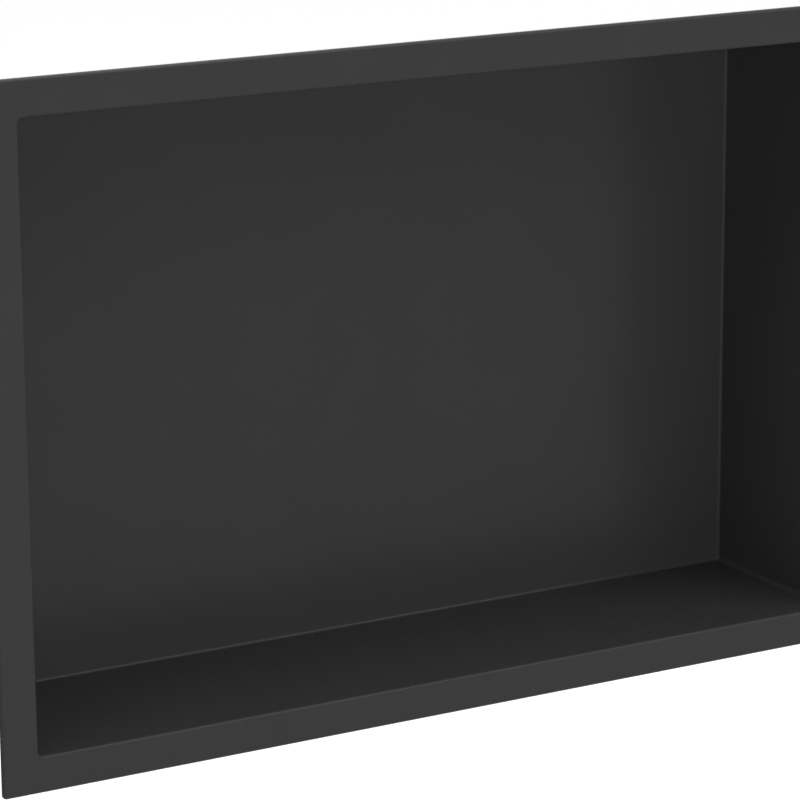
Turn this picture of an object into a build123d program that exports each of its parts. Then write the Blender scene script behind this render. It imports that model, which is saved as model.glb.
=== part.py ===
from build123d import *
import os

# Shower niche insert: a tub of sheet steel, open at the front, with a flat flange round its mouth.
# It is one piece, folded and welded, so the steel is equally thick everywhere.
# Millimetres. +X runs to the right seen from the front, +Y goes into the wall and +Z is up.
# The origin is the centre of the mouth, in the plane of the wall that the flange's lip stands on.

# Driving dimensions
mouth_width = 450.0   # clear width of the niche
mouth_height = 300.0  # clear height of the niche
niche_depth = 100.0   # front face of the flange to the back wall
sheet = 1.2           # thickness of the steel
flange_width = 18.0   # clear mouth to the flange's outer edge
lip_depth = 3.0       # front face of the flange to the end of the lip folded back from its edge
flange_fold = 0.3     # inside radius of the folds at the mouth and the lip, and of the lip's corners
tub_corner = 2.5      # inside radius of the tub's four welded corners, which run from mouth to back wall
tub_fold = 1.5        # inside radius of the folds round the back wall, tighter than the corners

# Where the faces across the niche lie, going into the wall
wall = 0.0
flange_front = wall - lip_depth
flange_rear = flange_front + sheet

# The tub outside, and the hollow behind the flange, inside its lip
tub_width = mouth_width + 2 * sheet
tub_height = mouth_height + 2 * sheet
hollow_width = mouth_width + 2 * (flange_width - sheet)
hollow_height = mouth_height + 2 * (flange_width - sheet)


def upright(depth):
    """A plane across the niche at this depth, facing into the wall."""
    return Plane(origin=(0, depth, 0), x_dir=(1, 0, 0), z_dir=(0, 1, 0))


# The clear space of the niche, which is cut out of the steel below
with BuildPart() as clear_space:
    with BuildSketch(upright(flange_front)):
        RectangleRounded(mouth_width, mouth_height, tub_corner)
    extrude(amount=niche_depth)
    fillet(clear_space.faces().sort_by(Axis.Y)[-1].edges(), tub_fold)

with BuildPart() as niche_insert:
    # The flange and its lip: the hollow behind them, wrapped in sheet and left open towards the wall
    with BuildSketch(upright(flange_rear)):
        Rectangle(hollow_width, hollow_height)
    extrude(amount=lip_depth - sheet)
    wall_side = niche_insert.faces().sort_by(Axis.Y)[-1]
    fillet(niche_insert.edges() - wall_side.edges(), flange_fold)
    offset(amount=sheet, openings=niche_insert.faces().sort_by(Axis.Y)[-1])

    # The tub behind the flange, with one sheet of steel left round the clear space
    with BuildSketch(upright(flange_rear)):
        RectangleRounded(tub_width, tub_height, tub_corner + sheet)
    extrude(amount=niche_depth)
    fillet(niche_insert.faces().sort_by(Axis.Y)[-1].edges(), tub_fold + sheet)
    add(clear_space.part, mode=Mode.SUBTRACT)

    # The fold from the flange into the tub: a wide arc in front, and a tight one behind about its centre
    front_face = niche_insert.faces().filter_by(Axis.Y).sort_by(Axis.Y)[0]
    fillet(front_face.inner_wires()[0].edges(), flange_fold + sheet)
    rear_face = niche_insert.faces().filter_by(Axis.Y).sort_by(Axis.Y)[1]
    fillet(rear_face.inner_wires()[0].edges(), flange_fold)

os.makedirs("parts", exist_ok=True)
niche_insert.part.label = "niche_insert"
export_step(niche_insert.part, "parts/niche_insert.step")
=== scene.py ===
import math

import bpy
from mathutils import Matrix, Vector

# The niche insert hangs above a pale floor, in soft light from all round.
# Metres and degrees. An azimuth of 0 is in front of the mouth, and 90 is to its right.
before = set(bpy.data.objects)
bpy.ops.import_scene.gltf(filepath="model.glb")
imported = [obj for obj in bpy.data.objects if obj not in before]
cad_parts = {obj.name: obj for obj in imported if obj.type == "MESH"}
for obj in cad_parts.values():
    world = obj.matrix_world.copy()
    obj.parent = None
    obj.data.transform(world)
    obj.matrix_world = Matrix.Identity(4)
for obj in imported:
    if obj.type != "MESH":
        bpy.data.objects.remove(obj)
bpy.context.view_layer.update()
scene = bpy.context.scene

# Camera
CAMERA_PLACE = (-0.8483, -1.4483, 0.4203)
CAMERA_YAW = 29.48
CAMERA_PITCH = 14.34
CAMERA_ROLL = -0.36
CAMERA_LENS_MM = 160.6
CAMERA_SENSOR_MM = 36.0
CAMERA_REACH = 100.0

# Coating: a matt black powder coat, whose peel and grain are far finer than the folds
COATING_SHADE = (0.0333, 0.0347)
COATING_SPECULAR = 0.08
COATING_ROUGHNESS = (0.24, 0.28)
CLOUD_SIZE = 0.04
CLOUD_DETAIL = 2
PEEL_SIZE = 0.0022
PEEL_DETAIL = 1
PEEL_HEIGHT = 0.000006
GRAIN_SIZE = 0.00045
GRAIN_DETAIL = 2
GRAIN_HEIGHT = 0.000001
# The stretch that most values of a noise lie in
NOISE_STRETCH = (0.3, 0.7)

# Floor: it is lifted to white where it is seen, and least near the niche, where the lamps light it most
FLOOR_HEIGHT = -1.0
FLOOR_SIDE = 60.0
FLOOR_COLOUR = (0.85, 0.85, 0.85, 1.0)
FLOOR_LIFT = (0.19, 0.76)
FLOOR_LIFT_REACH = (1.0, 4.8)

# Light
WHITE = (1.0, 1.0, 1.0, 1.0)
WORLD_FILL = 0.194
SUN_WAY = (51, 52)
SUN_ANGLE = 10
SUN_STRENGTH = 0.18
# Softboxes: azimuth, elevation, distance, size, power in watts, and whether it shows in the gloss
SOFTBOXES = {
    "front": (-20, 6, 6.0, 1.6, 159, False),
    "left": (-60, 60, 6.0, 2.5, 44.5, False),
    "right": (30, 40, 6.0, 4.0, 96, True),
    "top": (0, 90, 1.1, 0.9, 9.1, True),
    "back": (180, 20, 6.0, 4.0, 150, True),
}
FLAG_PLACE = (-0.6, 0.8, -0.15)
FLAG_SIZE = 1.0
FLAG_COLOUR = (0.02, 0.02, 0.02, 1.0)


def toward(azimuth, elevation):
    """The direction from the mouth to a lamp."""
    across = math.cos(math.radians(elevation))
    return Vector((
        math.sin(math.radians(azimuth)) * across,
        -math.cos(math.radians(azimuth)) * across,
        math.sin(math.radians(elevation)),
    ))


def add_object(name, data):
    """Put a new object in the scene."""
    thing = bpy.data.objects.new(name, data)
    scene.collection.objects.link(thing)
    return thing


def add_camera():
    """The camera, looking down at the mouth from the left."""
    data = bpy.data.cameras.new("camera")
    data.lens = CAMERA_LENS_MM
    data.sensor_width = CAMERA_SENSOR_MM
    data.clip_end = CAMERA_REACH
    camera = add_object("camera", data)
    yaw = Matrix.Rotation(math.radians(-CAMERA_YAW), 4, "Z")
    pitch = Matrix.Rotation(math.radians(90 - CAMERA_PITCH), 4, "X")
    roll = Matrix.Rotation(math.radians(CAMERA_ROLL), 4, "Z")
    camera.matrix_world = Matrix.Translation(CAMERA_PLACE) @ yaw @ pitch @ roll
    scene.camera = camera


def add_place(tree):
    """The place on the object that is shaded."""
    return tree.nodes.new("ShaderNodeTexCoord").outputs["Object"]


def add_noise(tree, size, detail):
    """A noise texture with lumps of this size."""
    noise = tree.nodes.new("ShaderNodeTexNoise")
    noise.inputs["Scale"].default_value = 1 / size
    noise.inputs["Detail"].default_value = detail
    tree.links.new(add_place(tree), noise.inputs["Vector"])
    return noise.outputs["Fac"]


def add_range(tree, value, target, source=(0.0, 1.0)):
    """Spread a value from the source range over the target range."""
    spread = tree.nodes.new("ShaderNodeMapRange")
    spread.inputs["From Min"].default_value, spread.inputs["From Max"].default_value = source
    spread.inputs["To Min"].default_value, spread.inputs["To Max"].default_value = target
    tree.links.new(value, spread.inputs["Value"])
    return spread.outputs["Result"]


def add_math(tree, operation, first, second):
    """Work out one value from two."""
    node = tree.nodes.new("ShaderNodeMath")
    node.operation = operation
    tree.links.new(first, node.inputs[0])
    tree.links.new(second, node.inputs[1])
    return node.outputs["Value"]


def add_bump(tree, height, distance, normal=None):
    """Raise the surface by a height texture, on top of an earlier bump if there is one."""
    bump = tree.nodes.new("ShaderNodeBump")
    bump.inputs["Distance"].default_value = distance
    tree.links.new(height, bump.inputs["Height"])
    if normal:
        tree.links.new(normal, bump.inputs["Normal"])
    return bump.outputs["Normal"]


def add_seen_rays(tree):
    """1 for the rays that show a surface by sight, mirror or glass, and 0 for those that only light it."""
    path = tree.nodes.new("ShaderNodeLightPath").outputs
    mirrored = add_math(tree, "MAXIMUM", path["Is Glossy Ray"], path["Is Transmission Ray"])
    return add_math(tree, "MAXIMUM", path["Is Camera Ray"], mirrored)


def add_material(name):
    """A new material made of nodes."""
    material = bpy.data.materials.new(name)
    material.use_nodes = True
    return material


def shader_inputs(material):
    """The inputs of a material's shader."""
    return material.node_tree.nodes["Principled BSDF"].inputs


def coating_material():
    """Matt black powder coat: a fine grain on a soft peel, with faint clouds in its shade."""
    material = add_material("powder_coat")
    tree = material.node_tree
    shader = shader_inputs(material)
    shader["Specular IOR Level"].default_value = COATING_SPECULAR
    cloud = add_noise(tree, CLOUD_SIZE, CLOUD_DETAIL)
    peel = add_noise(tree, PEEL_SIZE, PEEL_DETAIL)
    grain = add_noise(tree, GRAIN_SIZE, GRAIN_DETAIL)
    tree.links.new(add_range(tree, cloud, COATING_SHADE, NOISE_STRETCH), shader["Base Color"])
    tree.links.new(add_range(tree, grain, COATING_ROUGHNESS, NOISE_STRETCH), shader["Roughness"])
    peeled = add_bump(tree, peel, PEEL_HEIGHT)
    tree.links.new(add_bump(tree, grain, GRAIN_HEIGHT, peeled), shader["Normal"])
    return material


def matt_material(name, colour):
    """A plain matt material without gloss."""
    material = add_material(name)
    shader = shader_inputs(material)
    shader["Base Color"].default_value = colour
    shader["Roughness"].default_value = 1.0
    shader["Specular IOR Level"].default_value = 0.0
    return material


def floor_material():
    """Pale matt floor, lifted to white where it is seen, with the shadow kept."""
    material = matt_material("floor", FLOOR_COLOUR)
    tree = material.node_tree
    shader = shader_inputs(material)
    away = tree.nodes.new("ShaderNodeVectorMath")
    away.operation = "LENGTH"
    tree.links.new(add_place(tree), away.inputs[0])
    lift = add_range(tree, away.outputs["Value"], FLOOR_LIFT, FLOOR_LIFT_REACH)
    shader["Emission Color"].default_value = WHITE
    tree.links.new(add_math(tree, "MULTIPLY", add_seen_rays(tree), lift), shader["Emission Strength"])
    return material


def add_stage(name, corners, material):
    """A flat four-cornered piece of the studio."""
    mesh = bpy.data.meshes.new(name)
    mesh.from_pydata(corners, [], [(0, 1, 2, 3)])
    mesh.materials.append(material)
    piece = add_object(name, mesh)
    return piece


def square(side):
    """The corners of a square about the origin."""
    half = side / 2
    return (-half, -half), (half, -half), (half, half), (-half, half)


def add_floor():
    """A wide floor, well below the niche."""
    add_stage("floor", [(x, y, FLOOR_HEIGHT) for x, y in square(FLOOR_SIDE)], floor_material())


def add_flag():
    """A dark flag behind the left edge, which only the gloss shows, and which darkens the lip there."""
    flag = add_stage("flag", [(0, y, z) for y, z in square(FLAG_SIZE)], matt_material("flag", FLAG_COLOUR))
    flag.location = FLAG_PLACE
    flag.visible_camera = False
    flag.visible_diffuse = False
    flag.visible_shadow = False


def add_world():
    """A surround that is white where it is seen, and lights the niche evenly and weakly."""
    world = bpy.data.worlds.new("surround")
    world.use_nodes = True
    tree = world.node_tree
    background = tree.nodes["Background"].inputs
    background["Color"].default_value = WHITE
    tree.links.new(add_range(tree, add_seen_rays(tree), (WORLD_FILL, 1.0)), background["Strength"])
    scene.world = world


def aim(lamp, way):
    """Turn a lamp so that its light comes from this direction."""
    lamp.rotation_euler = (-way).to_track_quat("-Z", "Y").to_euler()


def add_sun():
    """A weak, soft sun from the upper right."""
    data = bpy.data.lights.new("sun", "SUN")
    data.energy = SUN_STRENGTH
    data.angle = math.radians(SUN_ANGLE)
    aim(add_object("sun", data), toward(*SUN_WAY))


def add_softbox(name, azimuth, elevation, distance, size, power, in_gloss):
    """A round softbox that faces the mouth."""
    data = bpy.data.lights.new(name, "AREA")
    data.shape = "DISK"
    data.size = size
    data.energy = power
    softbox = add_object(name, data)
    softbox.visible_glossy = in_gloss
    way = toward(azimuth, elevation)
    softbox.location = way * distance
    aim(softbox, way)


coating = coating_material()
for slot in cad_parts["niche_insert"].material_slots:
    slot.material = coating
add_floor()
add_flag()
add_world()
add_sun()
for name, setting in SOFTBOXES.items():
    add_softbox(name, *setting)
add_camera()
scene.view_settings.view_transform = "Standard"
